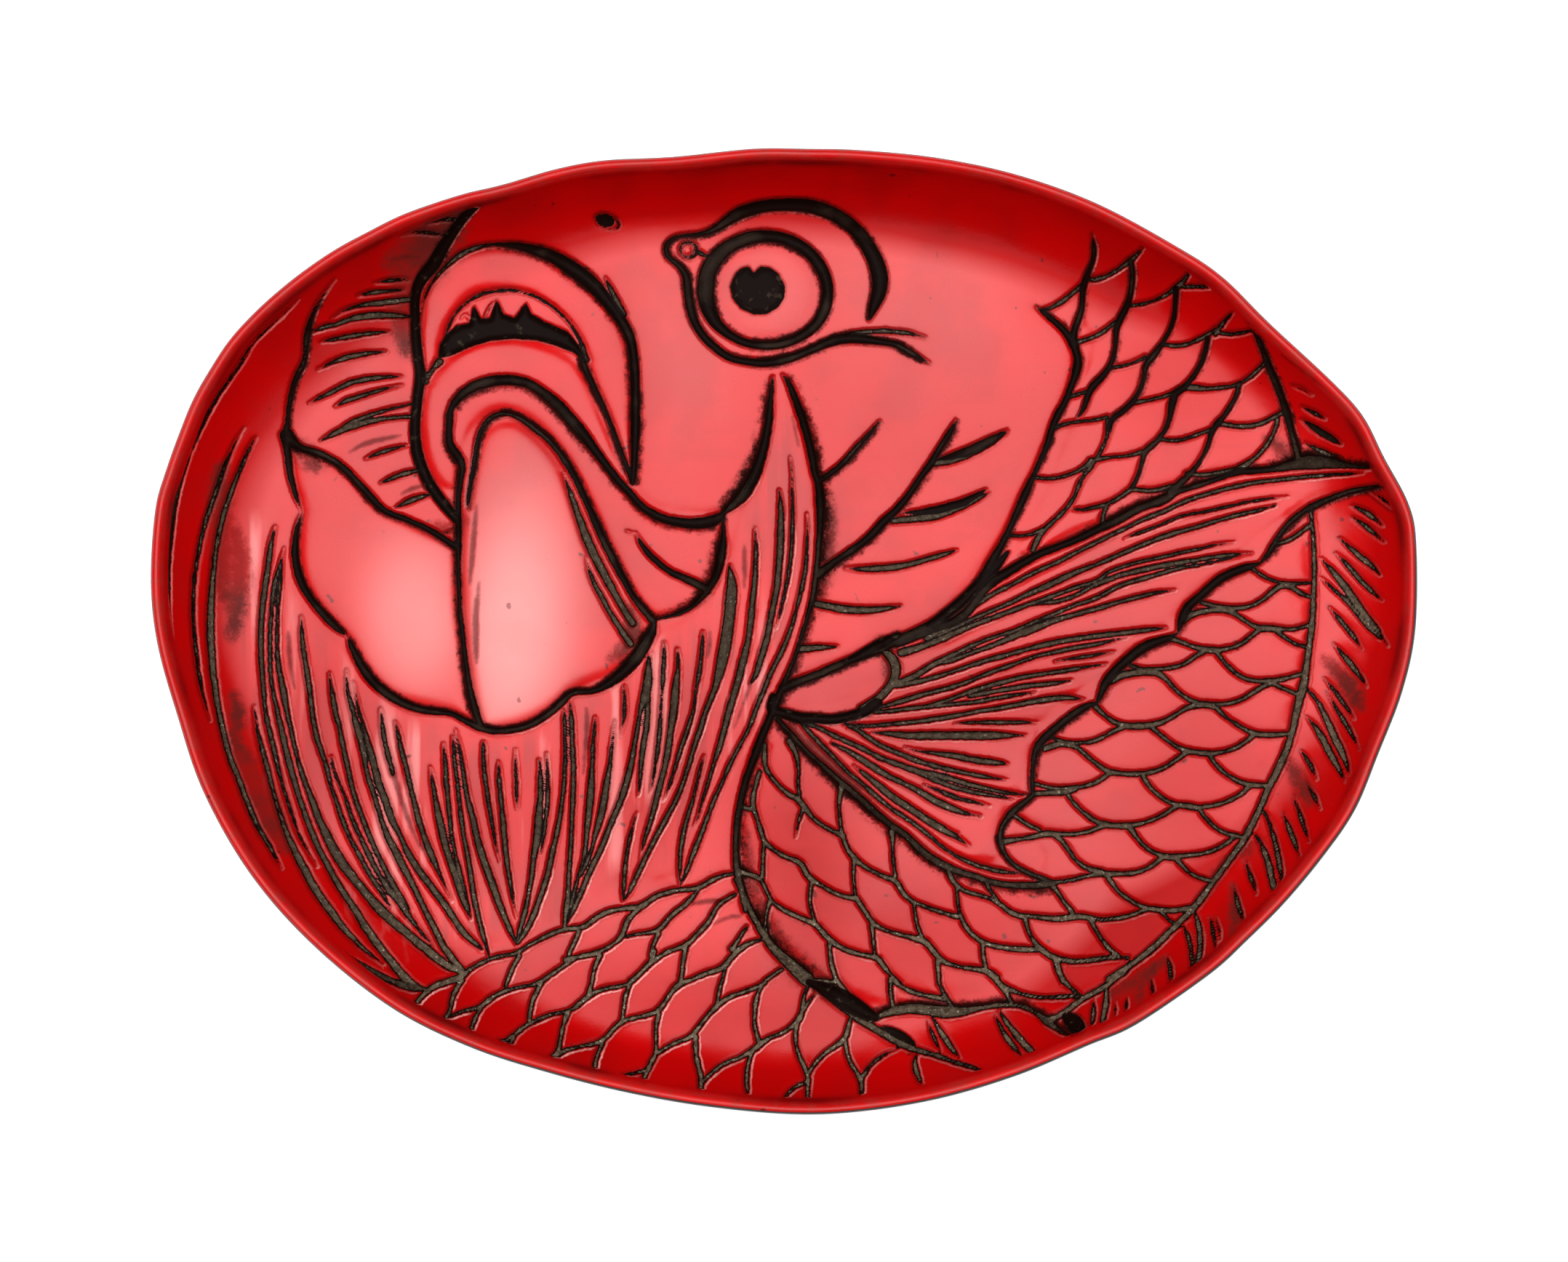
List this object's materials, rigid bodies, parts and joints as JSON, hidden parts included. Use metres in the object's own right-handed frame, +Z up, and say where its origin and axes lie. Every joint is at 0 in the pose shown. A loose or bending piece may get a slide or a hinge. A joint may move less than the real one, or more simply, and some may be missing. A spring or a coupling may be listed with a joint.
{
  "type": "carved serving tray",
  "caption": "Shallow oval wooden tray with a rounded raised rim, coved inner wall and flat foot; its floor is carved in low relief with a curled fish.",
  "frame": {"origin": "middle of the tray's bounding box in X and Y, on the flat foot that the tray rests on", "axes": "+X along the tray's long side, towards the tip of the pectoral fin; +Y across it, towards the fish's eye; +Z up, out of the tray's open side"},
  "size_m": [0.36, 0.2746, 0.028],
  "materials": {
    "red_lacquered_wood": "satin red lacquer, with dark matte pigment left in the carved grooves and black lacquer on the back"
  },
  "bodies": {
    "root": {"carved_tray": "red_lacquered_wood"}
  },
  "joints": []
}
